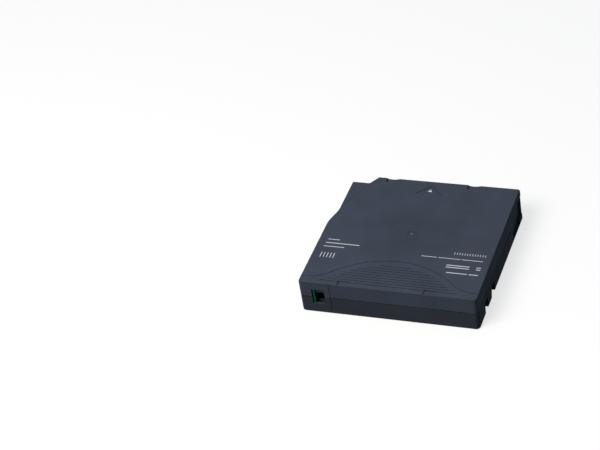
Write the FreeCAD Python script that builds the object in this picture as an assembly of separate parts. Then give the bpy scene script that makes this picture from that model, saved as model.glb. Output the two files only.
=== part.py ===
import FreeCAD, Part
import math
import os

# Data tape cartridge with one reel. Millimetres. The origin is the centre of the underside,
# +Z is up, +Y is the edge that enters the drive first, and -Y is the label edge.

V = FreeCAD.Vector
UP = V(0, 0, 1)
RIGHT = V(1, 0, 0)
EPS = 0.01
MARGIN = 2.0  # how far a cutting shape runs past the face it opens

# ---- Case ----
case_width = 105.4
case_depth = 102.0
case_height = 21.5
wall = 1.6
plate = 2.0
seam_z = 11.3
seam_groove_height = 0.5
seam_groove_depth = 0.6
rear_corner_radius = 2.5
front_corner_radius = 1.5
top_edge_radius = 1.0
bottom_edge_radius = 0.7

# ---- Insertion guide step, at the front left corner ----
guide_side_depth = 3.2
guide_side_length = 34.2
guide_bend_length = 11.3
guide_bend_radius = 20.0
guide_front_depth = 6.5
guide_front_width = 13.9
guide_ramp_width = 4.0
guide_corner_radius = 1.2
guide_crease_length = 26.5
guide_crease_reach = 12.2
guide_crease_width = 0.3
guide_crease_depth = 0.12

# ---- Relief of the top face ----
groove_width = 0.5
groove_depth = 0.3
grip_apex_y = 25.9  # from the label edge to the top of the arch
grip_radius = 51.3
grip_foot_y = 5.7
grip_foot_x = 50.0
rib_first_y = 21.0
rib_pitch = 2.15
rib_count = 9
rib_margin = 4.0  # from the ends of the ribs to the arch
scoop_width = 8.6
scoop_length = 4.5
scoop_wall_depth = 0.9
scoop_depth = 1.25
scoop_left_x = -29.2
scoop_right_x = 21.2
pad_width = 7.0
pad_length = 4.6
pad_depth = 0.85  # at the end away from the label edge
pad_edge_depth = 0.35
pad_left_x = -29.3
pad_right_x = 21.3
chevron_apex_y = 4.7  # from the front edge
chevron_half_width = 8.0
chevron_drop = 8.5
dish_x = 0.3
dish_y = 0.7
dish_radius = 2.4
dish_depth = 0.15
nub_radius = 0.45

# ---- Label recess in the rear wall ----
label_left_gap = 18.4
label_right_gap = 6.5
label_low_z = 2.6
label_depth = 0.35

# ---- Handling notches, low in both side walls ----
notch_height = 7.7
notch_depth = 2.0
notch_pad_wall = 1.2
notch_places = ((34.9, 7.9), (20.2, 6.5))  # from the label edge to the deep end, ramp length

# ---- Gaps ----
slide_gap = 0.15
rest_gap = 0.1
reel_side_room = 3.1
reel_end_room = 1.4

# ---- Reel ----
half_w = case_width / 2
half_d = case_depth / 2
inner_w = half_w - wall
inner_d = half_d - wall
ceiling = case_height - plate
flange_radius = min(inner_w - reel_side_room, inner_d - reel_end_room)
flange_thickness = 1.2
rest_rib_height = 0.5
rest_rib_width = 2.0
lift_room = 1.6
tape_edge_gap = 0.125
pack_margin = 1.15
hub_radius = 22.0
hub_wall = 2.0
hub_floor_thickness = 1.6
hub_floor_rise = 1.0  # from the lower flange's underside to the hub floor's
boss_radius = 20.0
boss_wall = 4.2
boss_drop = 0.9  # how far the boss reaches below the lower flange
drive_opening_gap = 0.8
drive_opening_bevel = 0.6
drive_tooth_count = 48
drive_tooth_height = 0.7
drive_tooth_root = 1.9
brake_tooth_count = 36
brake_tooth_height = 1.0
brake_tooth_root = 1.7
brake_ring_inner = 10.5
brake_ring_outer = 13.5
spigot_gap = 0.15
spigot_wall = 1.5
spigot_depth = 1.5

lower_flange_z = plate + rest_rib_height + rest_gap
tape_low_z = lower_flange_z + flange_thickness + tape_edge_gap
upper_flange_z = ceiling - lift_room - flange_thickness
tape_high_z = upper_flange_z - tape_edge_gap
pack_radius = flange_radius - pack_margin
hub_floor_z = lower_flange_z + hub_floor_rise
hub_floor_top = hub_floor_z + hub_floor_thickness
boss_low_z = lower_flange_z - boss_drop
hub_inner = hub_radius - hub_wall

# ---- Steel chuck plate ----
chuck_plate_thickness = 1.2
chuck_plate_inner = 4.0
chuck_plate_gap = 0.1

# ---- Brake and its release ----
brake_lift = 1.8
tooth_tip_gap = 0.2
brake_base_radius = 14.2
brake_base_thickness = 1.6
brake_tube_radius = 6.3
brake_tube_top_gap = 4.1  # from the ceiling
cross_length = 7.6
cross_width = 1.6
cross_gap = 0.2
cross_floor = 0.4
cross_end_gap = 0.3  # left between the post and the button at full lift
release_radius = 8.6
release_thickness = 1.2
release_gap = 0.1
release_leg_radius = 1.45
release_leg_hole = 1.7
release_leg_circle = 6.5
release_leg_count = 3
release_leg_inset = 0.15
release_dome_radius = 2.6
release_dome_gap = 0.15
brake_wire = 0.9
brake_coil_radius = 7.6
brake_coil_turns = 4.5
spring_seat_radius = 8.4
spring_seat_wall = 1.0
spring_seat_height = 1.2

brake_tooth_z = hub_floor_top + brake_tooth_height + tooth_tip_gap
brake_base_z = brake_tooth_z + brake_tooth_height
brake_base_top = brake_base_z + brake_base_thickness
brake_tube_top = ceiling - brake_tube_top_gap
cross_floor_z = brake_base_top + cross_floor
cross_post_z = cross_floor_z + brake_lift + cross_end_gap

# ---- Access door on the right wall ----
door_opening_length = 23.5
door_opening_low = 3.6
door_opening_drop = 3.9  # from the top face to the opening
door_pocket_low = 1.0
door_pocket_length = 16.5
door_thickness = 1.45
door_overlap = 3.5
door_corner_radius = 0.4
door_travel = 20.8
door_rib_stand = 0.4  # from the side of the case to the finger rib
door_rib_front = 0.4
door_rib_rounding = 0.65
door_rib_end_gap = 0.3  # left between the finger rib and the shells with the door open
guide_rib_width = 1.0
guide_rib_height = 2.2
guide_rib_rear = 3.0  # from the middle of the case
guide_rib_front = 15.0  # from the front edge
guide_stub_length = 3.9
spring_seat_boss_radius = 0.6
spring_seat_boss_length = 1.6
door_spring_z = 9.6
door_spring_offset = 0.3  # inwards from the middle of the door's thickness
door_coil_radius = 0.95
door_wire = 0.3
door_coil_turns = 18
door_spring_stop = 31.0  # from the label edge
door_stop_thickness = 1.2
door_stop_width = 2.3
shelf_width = 1.8
shelf_gap = 0.1

door_outer = inner_w - slide_gap
door_inner = door_outer - door_thickness
door_opening_rear = half_d - door_opening_length
door_opening_high = case_height - door_opening_drop
door_front = inner_d - slide_gap
door_rear = door_opening_rear - door_overlap
door_spring_x = door_inner + door_thickness / 2 - door_spring_offset
door_spring_start = -half_d + door_spring_stop
shelf_top = door_spring_z - door_coil_radius - door_wire / 2 - shelf_gap

# ---- Write protect window and tab ----
window_left_gap = 0.75  # left of the tab's grip at rest
window_right_gap = 0.25  # right of the tab's grip when it is moved
window_low = 6.4
window_drop = 4.9
tab_width = 7.45
tab_depth = 2.2
tab_wall_gap = 0.3
tab_low = 4.55
tab_high = 13.5
tab_travel = 5.6
grip_width = 1.0
grip_stand = 0.4
grip_low = 6.7
grip_drop = 5.4
rail_lip = 1.0
rail_end_gap = 0.2
rail_end_width = 1.0
rail_lip_rise = 1.9

tab_corner_radius = rear_corner_radius - wall - slide_gap

# ---- Screws and their bosses ----
boss_outer = 3.0
screw_radius = 1.1
screw_hole = 1.2
screw_head_radius = 2.1
screw_head_height = 1.4
screw_head_hole = 2.3
screw_head_inset = 0.3
screw_length = 14.0
screw_slot_width = 0.6
screw_slot_depth = 0.6
rear_boss_side = 5.5
rear_boss_rear = 21.0
guide_boss_side = 10.2
guide_boss_front = 13.5
door_boss_side = 21.7
door_boss_front = 4.4

# ---- Locating holes in the underside ----
locating_radius = 2.5
locating_depth = 5.0
locating_wall = 1.1
locating_side = 21.7
locating_rear = 6.5

# ---- Curved ribs that guard the reel ----
guard_gap = 1.0
guard_wall = 1.0
guard_sweep = 40.0
guard_angles = (135.0, 225.0, 315.0)

# ---- Leader pin, its clips and sockets ----
pin_side = 7.2
pin_front = 10.5
pin_core_radius = 1.25
pin_head_radius = 1.9
pin_head_height = 1.0
pin_end_gap = 0.05
pin_collar_radius = 2.2
pin_collar_height = 0.35
clamp_radius = 1.95
clamp_gap = 0.05
clamp_end_gap = 0.7
clamp_slot_angle = 50.0
clip_thickness = 0.25
clip_height = 1.1
clip_back = 2.6
clip_arm = 2.15
clip_pinch = 1.55
clip_mouth = 2.1
clip_pinch_x = 1.9
clip_front = 2.6
socket_wall = 0.8
socket_gap = 0.15
socket_height = 1.3
film_thickness = 0.12
film_gap = 0.05

# ---- Memory board in the rear right corner ----
board_length = 14.0
board_height = 8.0
board_thickness = 0.8
board_corner_gap = 10.5
board_post_size = 2.6
board_post_height = 6.0
board_post_place = 6.0
board_slot_gap = 0.1
chip_size = 5.0
chip_thickness = 0.9

pin_x = half_w - pin_side
pin_y = half_d - pin_front
boss_places = (
    (-half_w + rear_boss_side, -half_d + rear_boss_rear),
    (half_w - rear_boss_side, -half_d + rear_boss_rear),
    (-half_w + guide_boss_side, half_d - guide_boss_front),
    (half_w - door_boss_side, half_d - door_boss_front),
)
locating_places = (
    (-half_w + locating_side, -half_d + locating_rear),
    (half_w - locating_side, -half_d + locating_rear),
)


# ---- Helpers ----
def box(x0, x1, y0, y1, z0, z1):
    """A block between two corners."""
    return Part.makeBox(x1 - x0, y1 - y0, z1 - z0, V(x0, y0, z0))


def disc(radius, z0, z1, x=0.0, y=0.0):
    """An upright cylinder from z0 to z1."""
    return Part.makeCylinder(radius, z1 - z0, V(x, y, z0))


def ring(outer, inner, z0, z1, x=0.0, y=0.0):
    """An upright tube from z0 to z1."""
    return disc(outer, z0, z1, x, y).cut(disc(inner, z0 - MARGIN, z1 + MARGIN, x, y))


def rounded_face(corners):
    """A flat face through (x, y, radius) corners, each rounded by its own radius."""
    points = [V(x, y, 0) for x, y, _ in corners]
    starts, ends, arcs = [], [], []
    for index, (_, _, radius) in enumerate(corners):
        here = points[index]
        back = (points[index - 1] - here).normalize()
        ahead = (points[(index + 1) % len(points)] - here).normalize()
        half_angle = back.getAngle(ahead) / 2
        reach = radius / math.tan(half_angle)
        middle = (back + ahead).normalize() * (radius / math.sin(half_angle) - radius)
        starts.append(here + back * reach)
        ends.append(here + ahead * reach)
        arcs.append(Part.Arc(starts[-1], here + middle, ends[-1]).toShape() if radius else None)
    edges = []
    for index, arc in enumerate(arcs):
        if arc is not None:
            edges.append(arc)
        edges.append(Part.makeLine(ends[index], starts[(index + 1) % len(starts)]))
    return Part.Face(Part.Wire(edges))


def polygon(points):
    """A flat face with straight sides."""
    return Part.Face(Part.makePolygon([V(x, y, 0) for x, y in points + points[:1]]))


def prism(face, z0, z1):
    """A flat face raised from z0 to z1."""
    raised = face.copy()
    raised.translate(UP * z0)
    return raised.extrude(UP * (z1 - z0))


def strip(points, thickness, z0, z1):
    """A bent strip that stands on edge along an open line of points."""
    line = [V(x, y, 0) for x, y in points]
    sides = [[], []]
    for index, here in enumerate(line):
        before = (here - line[index - 1]).normalize() if index else None
        after = (line[index + 1] - here).normalize() if index < len(line) - 1 else None
        first = before or after
        second = after or before
        along = (first + second).normalize()
        across = UP.cross(along) * (thickness / 2 / math.cos(first.getAngle(second) / 2))
        sides[0].append((here + across)[:2])
        sides[1].append((here - across)[:2])
    return prism(polygon([tuple(p) for p in sides[0] + sides[1][::-1]]), z0, z1)


def coil(radius, wire, z0, z1, turns):
    """A helical spring whose outer ends lie at z0 and z1."""
    height = z1 - z0 - wire
    path = Part.makeHelix(height / turns, height, radius)
    path.translate(UP * (z0 + wire / 2))
    start = path.Edges[0].valueAt(path.Edges[0].FirstParameter)
    tangent = path.Edges[0].tangentAt(path.Edges[0].FirstParameter)
    section = Part.Wire(Part.makeCircle(wire / 2, start, tangent))
    return Part.Wire(path).makePipeShell([section], True, True)


def tooth_cuts(count, inner, outer, tip_z, height, root):
    """Radial V grooves that leave a ring of teeth with their tips at tip_z."""
    bottom = tip_z - height
    profile = Part.Face(Part.makePolygon([
        V(inner, -root / 2, tip_z + EPS), V(inner, root / 2, tip_z + EPS), V(inner, 0, bottom),
        V(inner, -root / 2, tip_z + EPS)]))
    groove = profile.extrude(RIGHT * (outer - inner))
    cuts = []
    for index in range(count):
        cut = groove.copy()
        cut.rotate(V(), UP, index * 360.0 / count)
        cuts.append(cut)
    return cuts


def case_corners():
    """Corners of the case seen from above, counter-clockwise from the rear left."""
    guide_x = -half_w + guide_side_depth
    guide_y = half_d - guide_side_length
    step_x = -half_w + guide_front_width
    return [
        (-half_w, -half_d, rear_corner_radius),
        (half_w, -half_d, rear_corner_radius),
        (half_w, half_d, front_corner_radius),
        (step_x + guide_ramp_width, half_d, guide_corner_radius / 2),
        (step_x, half_d - guide_front_depth, guide_corner_radius / 2),
        (guide_x, half_d - guide_front_depth, guide_corner_radius),
        (guide_x, guide_y, guide_bend_radius),
        (-half_w, guide_y - guide_bend_length, guide_bend_radius),
    ]


def case_face(inset=0.0):
    """The case outline, moved inwards by inset."""
    face = rounded_face(case_corners())
    return face.makeOffset2D(-inset, 0, False, False) if inset else face


def seam_groove():
    """The shallow groove where the two shells meet, as deep in the label recess as elsewhere."""
    low = seam_z - seam_groove_height / 2
    high = seam_z + seam_groove_height / 2
    solid = prism(case_face(), low, high)
    around = solid.cut(prism(case_face(seam_groove_depth), low - EPS, high + EPS))
    return around.fuse(label_field(label_depth + seam_groove_depth, low, high))


def level_edges(shape, level):
    """Edges that lie wholly at one height."""
    return [e for e in shape.Edges
            if abs(e.BoundBox.ZMin - level) < EPS and abs(e.BoundBox.ZMax - level) < EPS]


def guard_ribs(z0, z1):
    """Arcs round the reel in the corners that the door leaves free."""
    inner = flange_radius + guard_gap
    ribs = []
    for angle in guard_angles:
        start = angle - guard_sweep / 2
        sector = Part.makeCylinder(inner + guard_wall, z1 - z0, V(0, 0, z0), UP, guard_sweep)
        sector = sector.cut(disc(inner, z0 - MARGIN, z1 + MARGIN))
        sector.rotate(V(), UP, start)
        ribs.append(sector)
    return ribs


def pin_socket(z0, z1):
    """A U-shaped wall round the leader pin's clip, open towards the door."""
    reach = clip_arm + clip_thickness / 2 + socket_gap
    back = pin_x - clip_back - clip_thickness / 2 - socket_gap
    front = pin_x + clip_front
    outer = box(back - socket_wall, front, pin_y - reach - socket_wall, pin_y + reach + socket_wall,
                z0, z1)
    return outer.cut(box(back, front + MARGIN, pin_y - reach, pin_y + reach,
                         z0 - MARGIN, z1 + MARGIN))


def door_guides(z0, z1):
    """Inner ribs that keep the door against the right wall."""
    outer = door_inner - slide_gap
    inner = outer - guide_rib_width
    return [
        box(inner, outer, guide_rib_rear, half_d - guide_rib_front, z0, z1),
        box(inner, outer, inner_d - guide_stub_length, inner_d + EPS, z0, z1),
    ]


def handling_notches():
    """Wedge cuts low in both side walls: a square end, then a ramp towards the label edge."""
    cuts = []
    for deep_end, ramp in notch_places:
        y_deep = -half_d + deep_end
        for side in (-1, 1):
            points = [
                (side * (half_w + MARGIN), y_deep),
                (side * (half_w - notch_depth), y_deep),
                (side * half_w, y_deep - ramp),
                (side * (half_w + MARGIN), y_deep - ramp),
            ]
            cuts.append(prism(polygon(points), -MARGIN, notch_height))
    return cuts


def notch_pads():
    """Thicker wall behind each handling notch."""
    pads = []
    for deep_end, ramp in notch_places:
        y_deep = -half_d + deep_end
        for side in (-1, 1):
            x_in = side * (half_w - notch_depth - notch_pad_wall)
            x_out = side * (inner_w + EPS)
            pads.append(box(min(x_in, x_out), max(x_in, x_out), y_deep - ramp,
                            y_deep + notch_pad_wall, plate - EPS, shelf_top))
    return pads


def door_opening():
    """The way out for the leader pin, round the front right corner."""
    side = box(door_inner - slide_gap, half_w + MARGIN, door_opening_rear, half_d + MARGIN,
               door_opening_low, door_opening_high)
    pocket = box(inner_w, half_w + MARGIN, door_opening_rear, door_opening_rear + door_pocket_length,
                 door_pocket_low, door_opening_low + EPS)
    return [side, pocket]


def window():
    """The write protect window in the rear wall."""
    left = tab_left() + tab_width - grip_width - window_left_gap
    right = tab_left() + tab_width + tab_travel + window_right_gap
    return box(left, right, -half_d - MARGIN, -inner_d + EPS, window_low, case_height - window_drop)


def tab_rail(z0, z1, lip_z0, lip_z1):
    """A shelf and a back lip that the write protect tab slides between, with an end stop."""
    left = -inner_w
    right = tab_left() + tab_width + tab_travel + rail_end_gap
    front = -inner_d - EPS
    back = tab_back() + slide_gap
    shelf = box(left - EPS, right + rail_end_width, front, back + rail_lip, z0, z1)
    lip = box(left - EPS, right + rail_end_width, back, back + rail_lip, lip_z0, lip_z1)
    stop = box(right, right + rail_end_width, front, back + rail_lip, lip_z0, lip_z1)
    return [shelf, lip, stop]


def tab_left():
    """Left side of the write protect tab at rest."""
    return -inner_w + tab_wall_gap


def tab_back():
    """Inner face of the write protect tab."""
    return -inner_d + slide_gap + tab_depth


# ---- Shells ----
def pad(left):
    """A fingertip pad at the label edge, with a floor that rises towards that edge."""
    top = case_height
    back = -half_d + pad_length
    rear = -half_d - MARGIN
    outline = [V(left, rear, top - pad_edge_depth), V(left, -half_d, top - pad_edge_depth),
               V(left, back, top - pad_depth), V(left, back, top + MARGIN),
               V(left, rear, top + MARGIN)]
    return Part.Face(Part.makePolygon(outline + outline[:1])).extrude(V(pad_width, 0, 0))


def top_relief():
    """Everything that is cut into the top face."""
    top = case_height
    cuts = []

    guide_x = -half_w + guide_side_depth
    guide_y = half_d - guide_front_depth
    slope = guide_crease_length / guide_crease_reach
    crease = [(guide_x - MARGIN, guide_y - guide_crease_length - MARGIN * slope),
              (guide_x + guide_crease_reach, guide_y)]
    cuts.append(strip(crease, guide_crease_width, top - guide_crease_depth, top + MARGIN))

    for left in (scoop_left_x, scoop_right_x):
        start = V(left, half_d - scoop_length, top - scoop_wall_depth)
        middle = V(left + scoop_width / 2, half_d - scoop_length, top - scoop_depth)
        end = V(left + scoop_width, half_d - scoop_length, top + EPS)
        above = V(left, half_d - scoop_length, top + EPS)
        outline = [Part.Arc(start, middle, end).toShape(), Part.makeLine(end, above),
                   Part.makeLine(above, start)]
        cuts.append(Part.Face(Part.Wire(outline)).extrude(V(0, scoop_length + MARGIN, 0)))

    cuts += [pad(left) for left in (pad_left_x, pad_right_x)]

    floor = top - groove_depth
    apex_y = half_d - chevron_apex_y
    arms = [(-chevron_half_width, apex_y - chevron_drop), (0, apex_y),
            (chevron_half_width, apex_y - chevron_drop)]
    cuts.append(strip(arms, groove_width, floor, top + MARGIN))

    dish = disc(dish_radius, top - dish_depth, top + MARGIN, dish_x, dish_y)
    nub_curve = (nub_radius ** 2 + dish_depth ** 2) / (2 * dish_depth)
    cuts.append(dish.cut(Part.makeSphere(nub_curve, V(dish_x, dish_y, top - nub_curve))))

    cuts.append(grip_arch(groove_width / 2).cut(grip_arch(-groove_width / 2)))
    ribbed = grip_arch(-rib_margin)
    for index in range(rib_count):
        y = -half_d + rib_first_y - index * rib_pitch
        line = box(-half_w, half_w, y - groove_width / 2, y + groove_width / 2, floor, top + MARGIN)
        cuts.append(line.common(ribbed))
    return cuts


def grip_foot_radius():
    """Radius of the arc that turns the arch of the thumb grip into its straight foot."""
    rise = grip_foot_y - (grip_apex_y - grip_radius)
    return (grip_foot_x ** 2 + rise ** 2 - grip_radius ** 2) / (2 * (grip_radius - rise))


def grip_arch(offset):
    """The region of the thumb grip, grown by offset, as a cutter through the top face."""
    foot = grip_foot_radius()
    centre_y = grip_apex_y - grip_radius
    foot_centre_y = grip_foot_y + foot
    share = grip_radius / (grip_radius + foot)
    along = V(grip_foot_x, foot_centre_y - centre_y, 0).normalize()
    touch = V(grip_foot_x * share, centre_y + (foot_centre_y - centre_y) * share, 0) + along * offset
    foot_low = V(grip_foot_x, grip_foot_y + offset, 0)
    bend = V(grip_foot_x, foot_centre_y, 0) - (along + V(0, 1, 0)).normalize() * (foot - offset)
    end_x = half_w + MARGIN
    edges = [
        Part.makeLine(V(-end_x, -MARGIN, 0), V(end_x, -MARGIN, 0)),
        Part.makeLine(V(end_x, -MARGIN, 0), V(end_x, foot_low.y, 0)),
        Part.makeLine(V(end_x, foot_low.y, 0), foot_low),
        Part.Arc(foot_low, bend, touch).toShape(),
        Part.Arc(touch, V(0, grip_apex_y + offset, 0), V(-touch.x, touch.y, 0)).toShape(),
        Part.Arc(V(-touch.x, touch.y, 0), V(-bend.x, bend.y, 0),
                 V(-foot_low.x, foot_low.y, 0)).toShape(),
        Part.makeLine(V(-foot_low.x, foot_low.y, 0), V(-end_x, foot_low.y, 0)),
        Part.makeLine(V(-end_x, foot_low.y, 0), V(-end_x, -MARGIN, 0)),
    ]
    region = prism(Part.Face(Part.Wire(edges)), case_height - groove_depth, case_height + MARGIN)
    region.translate(V(0, -half_d, 0))
    return region


def label_field(depth, z0, z1):
    """A cut into the rear wall as wide as the label."""
    return box(-half_w + label_left_gap, half_w - label_right_gap,
               -half_d - MARGIN, -half_d + depth, z0, z1)


def label_recess():
    """The flat recess for a label, open to the top edge."""
    return label_field(label_depth, label_low_z, case_height + MARGIN)


def make_upper_shell():
    """Top half of the case, with the post that holds the brake."""
    body = prism(case_face(), seam_z, case_height)
    body = body.makeFillet(top_edge_radius, level_edges(body, case_height))
    body = body.cut(prism(case_face(wall), seam_z - MARGIN, ceiling))

    post_half = cross_length / 2
    blade_half = cross_width / 2
    inside = [
        box(-post_half, post_half, -blade_half, blade_half, cross_post_z, ceiling + EPS),
        box(-blade_half, blade_half, -post_half, post_half, cross_post_z, ceiling + EPS),
        ring(spring_seat_radius + spring_seat_wall, spring_seat_radius,
             ceiling - spring_seat_height, ceiling + EPS),
        pin_socket(ceiling - socket_height, ceiling + EPS),
    ]
    inside += [disc(boss_outer, seam_z, ceiling + EPS, x, y) for x, y in boss_places]
    inside += guard_ribs(seam_z, ceiling + EPS)
    inside += door_guides(ceiling - guide_rib_height, ceiling + EPS)
    tab_top = tab_high + slide_gap
    inside += tab_rail(tab_top, ceiling + EPS, tab_top - rail_lip_rise, tab_top + EPS)
    body = body.multiFuse(inside)

    cuts = top_relief() + door_opening()
    cuts += [label_recess(), window(), seam_groove()]
    screw_top = screw_head_inset + screw_head_height + screw_length + slide_gap
    cuts += [disc(screw_hole, seam_z - MARGIN, screw_top, x, y) for x, y in boss_places]
    return body.cut(cuts).removeSplitter()


def make_lower_shell():
    """Bottom half of the case, with the opening for the drive's chuck."""
    body = prism(case_face(), 0, seam_z)
    body = body.makeFillet(bottom_edge_radius, level_edges(body, 0))
    body = body.cut(prism(case_face(wall), plate, seam_z + MARGIN))

    opening = boss_radius + drive_opening_gap
    low = plate - EPS
    stop_y = door_spring_start
    inside = [
        disc(opening + rest_rib_width, low, plate + rest_rib_height),
        pin_socket(low, plate + socket_height),
        box(inner_w - shelf_width, inner_w + EPS, stop_y, guide_rib_rear - slide_gap,
            low, shelf_top),
        box(inner_w - door_stop_width, inner_w + EPS, stop_y - door_stop_thickness, stop_y,
            low, seam_z),
    ]
    inside += [disc(boss_outer, low, seam_z, x, y) for x, y in boss_places]
    inside += [disc(locating_radius + locating_wall, low, locating_depth + locating_wall, x, y)
               for x, y in locating_places]
    inside += guard_ribs(low, seam_z)
    inside += door_guides(low, plate + guide_rib_height)
    inside += notch_pads()
    rail_top = tab_low - slide_gap
    inside += tab_rail(low, rail_top, rail_top - EPS, rail_top + rail_lip_rise)
    inside += board_posts()
    body = body.multiFuse(inside)

    cuts = door_opening() + handling_notches()
    cuts += [label_recess(), window(), seam_groove()]
    cuts.append(disc(opening, -MARGIN, plate + rest_rib_height + MARGIN))
    cuts.append(Part.makeCone(opening + drive_opening_bevel + EPS, opening, drive_opening_bevel + EPS,
                              V(0, 0, -EPS)))
    for x, y in boss_places:
        cuts.append(disc(screw_hole, -MARGIN, seam_z + MARGIN, x, y))
        cuts.append(disc(screw_head_hole, -MARGIN, screw_head_inset + screw_head_height, x, y))
    for x, y in locating_places:
        cuts.append(disc(locating_radius, -MARGIN, locating_depth, x, y))
    return body.cut(cuts).removeSplitter()


def make_case_screws():
    """Four self-tapping screws, put in from the underside."""
    screws = []
    seat = screw_head_inset + screw_head_height
    for x, y in boss_places:
        head = disc(screw_head_radius, screw_head_inset, seat, x, y)
        shank = disc(screw_radius, seat - EPS, seat + screw_length, x, y)
        screw = head.fuse(shank)
        for turned in (False, True):
            long, short = screw_head_radius - screw_slot_width, screw_slot_width / 2
            half_x, half_y = (short, long) if turned else (long, short)
            screw = screw.cut(box(x - half_x, x + half_x, y - half_y, y + half_y,
                                  screw_head_inset - EPS, screw_head_inset + screw_slot_depth))
        screws.append(screw.removeSplitter())
    return Part.makeCompound(screws)


# ---- Write protect tab ----
def make_write_protect_tab():
    """The slider behind the window; its finger grip stands in the window."""
    left = tab_left()
    right = left + tab_width
    slab = box(left, right, -inner_d + slide_gap, tab_back(), tab_low, tab_high)
    left_edges = [e for e in slab.Edges
                  if e.BoundBox.XMax < left + EPS and e.BoundBox.ZLength > tab_depth]
    slab = slab.makeFillet(tab_corner_radius, left_edges)
    grip = box(right - grip_width, right, -half_d + grip_stand, tab_back() - EPS,
               grip_low, case_height - grip_drop)
    clear = box(right - grip_width - EPS, right + EPS, -inner_d - slide_gap, tab_back(),
                tab_high, case_height)
    return slab.fuse(grip.cut(clear)).removeSplitter()


# ---- Access door ----
def make_access_door():
    """Sliding door with a finger rib at its front and a peg for its spring at the rear."""
    low = plate + slide_gap
    high = ceiling - slide_gap
    panel = box(door_inner, door_outer, door_rear, door_front, low, high)
    corner = [e for e in panel.Edges if e.BoundBox.ZLength > door_thickness
              and e.BoundBox.XMin > door_outer - EPS and e.BoundBox.YMin > door_front - EPS]
    panel = panel.makeFillet(door_corner_radius, corner)
    rib_rear = door_opening_rear + door_travel + door_rib_end_gap
    rib = box(door_inner, half_w - door_rib_stand, rib_rear, half_d - door_rib_front,
              door_opening_low + slide_gap, door_opening_high - slide_gap)
    outer_edges = [e for e in rib.Edges if e.BoundBox.XMax > door_outer]
    rib = rib.makeFillet(door_rib_rounding, outer_edges)
    peg = Part.makeCylinder(spring_seat_boss_radius, spring_seat_boss_length,
                            V(door_spring_x, door_rear + EPS, door_spring_z), V(0, -1, 0))
    return panel.multiFuse([rib, peg]).removeSplitter()


def make_door_spring():
    """Thin compression spring that holds the door shut."""
    start = door_spring_start
    spring = coil(door_coil_radius, door_wire, 0, door_rear - start, door_coil_turns)
    spring.rotate(V(), RIGHT, -90)
    spring.translate(V(door_spring_x, start, door_spring_z))
    return spring


# ---- Leader pin ----
def make_leader_pin():
    """Turned steel pin on the free end of the tape."""
    low = plate + pin_end_gap
    high = ceiling - pin_end_gap
    pieces = [
        disc(pin_core_radius, low, high, pin_x, pin_y),
        disc(pin_head_radius, low, low + pin_head_height, pin_x, pin_y),
        disc(pin_head_radius, high - pin_head_height, high, pin_x, pin_y),
        disc(pin_collar_radius, tape_low_z - pin_collar_height, tape_low_z, pin_x, pin_y),
        disc(pin_collar_radius, tape_high_z, tape_high_z + pin_collar_height, pin_x, pin_y),
    ]
    return pieces[0].multiFuse(pieces[1:]).removeSplitter()


def film_start():
    """Where the tape leaves its pack, on the straight line to the leader pin."""
    radius = pack_radius + film_gap + film_thickness / 2
    distance = math.hypot(pin_x, pin_y)
    angle = math.atan2(pin_y, pin_x) + math.acos(radius / distance)
    return radius * math.cos(angle), radius * math.sin(angle)


def make_leader_clamp():
    """Snap-on tube that grips the tape's end on the leader pin."""
    low = tape_low_z + clamp_end_gap
    high = tape_high_z - clamp_end_gap
    tube = ring(clamp_radius, pin_core_radius + clamp_gap, low, high, pin_x, pin_y)
    x, y = film_start()
    slot = Part.makeCylinder(clamp_radius + MARGIN, high - low + 2 * MARGIN,
                             V(pin_x, pin_y, low - MARGIN), UP, clamp_slot_angle)
    towards = math.degrees(math.atan2(y - pin_y, x - pin_x))
    slot.rotate(V(pin_x, pin_y, 0), UP, towards - clamp_slot_angle / 2)
    return tube.cut(slot)


def make_leader_tape():
    """The stretch of tape from its pack to the leader pin."""
    x, y = film_start()
    length = math.hypot(pin_x - x, pin_y - y)
    reach = (length - pin_core_radius - clamp_gap) / length
    end = (x + (pin_x - x) * reach, y + (pin_y - y) * reach)
    return strip([(x, y), end], film_thickness, tape_low_z, tape_high_z)


def make_pin_clip(z0):
    """Bent leaf spring that snaps round one end of the leader pin."""
    arm = [
        (clip_front, clip_mouth),
        (clip_pinch_x, clip_pinch + clip_thickness),
        (0, clip_arm),
        (-clip_back, clip_arm),
    ]
    points = arm + [(x, -y) for x, y in reversed(arm)]
    moved = [(pin_x + x, pin_y + y) for x, y in points]
    return strip(moved, clip_thickness, z0, z0 + clip_height)


# ---- Reel ----
def make_reel_hub():
    """Hub and lower flange in one moulding, with teeth for the drive and for the brake."""
    pieces = [
        ring(flange_radius, hub_inner, lower_flange_z, lower_flange_z + flange_thickness),
        ring(hub_radius, hub_inner, lower_flange_z + EPS, upper_flange_z),
        disc(hub_inner + EPS, hub_floor_z, hub_floor_top),
        ring(boss_radius, boss_radius - boss_wall, boss_low_z - drive_tooth_height, hub_floor_z + EPS),
        ring(brake_ring_outer, brake_ring_inner, hub_floor_top - EPS,
             hub_floor_top + brake_tooth_height),
    ]
    body = pieces[0].multiFuse(pieces[1:])
    cuts = tooth_cuts(brake_tooth_count, brake_ring_inner - MARGIN / 2, brake_ring_outer + MARGIN / 2,
                      hub_floor_top + brake_tooth_height, brake_tooth_height, brake_tooth_root)
    drive_cuts = tooth_cuts(drive_tooth_count, boss_radius - boss_wall - MARGIN / 2,
                            boss_radius + MARGIN / 2,
                            0, drive_tooth_height, drive_tooth_root)
    for cut in drive_cuts:
        cut.rotate(V(), RIGHT, 180)
        cut.translate(UP * (boss_low_z - drive_tooth_height))
    for x, y in leg_places():
        cuts.append(disc(release_leg_hole, hub_floor_z - MARGIN / 2, hub_floor_top + MARGIN / 2, x, y))
    return body.cut(cuts + drive_cuts).removeSplitter()


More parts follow.
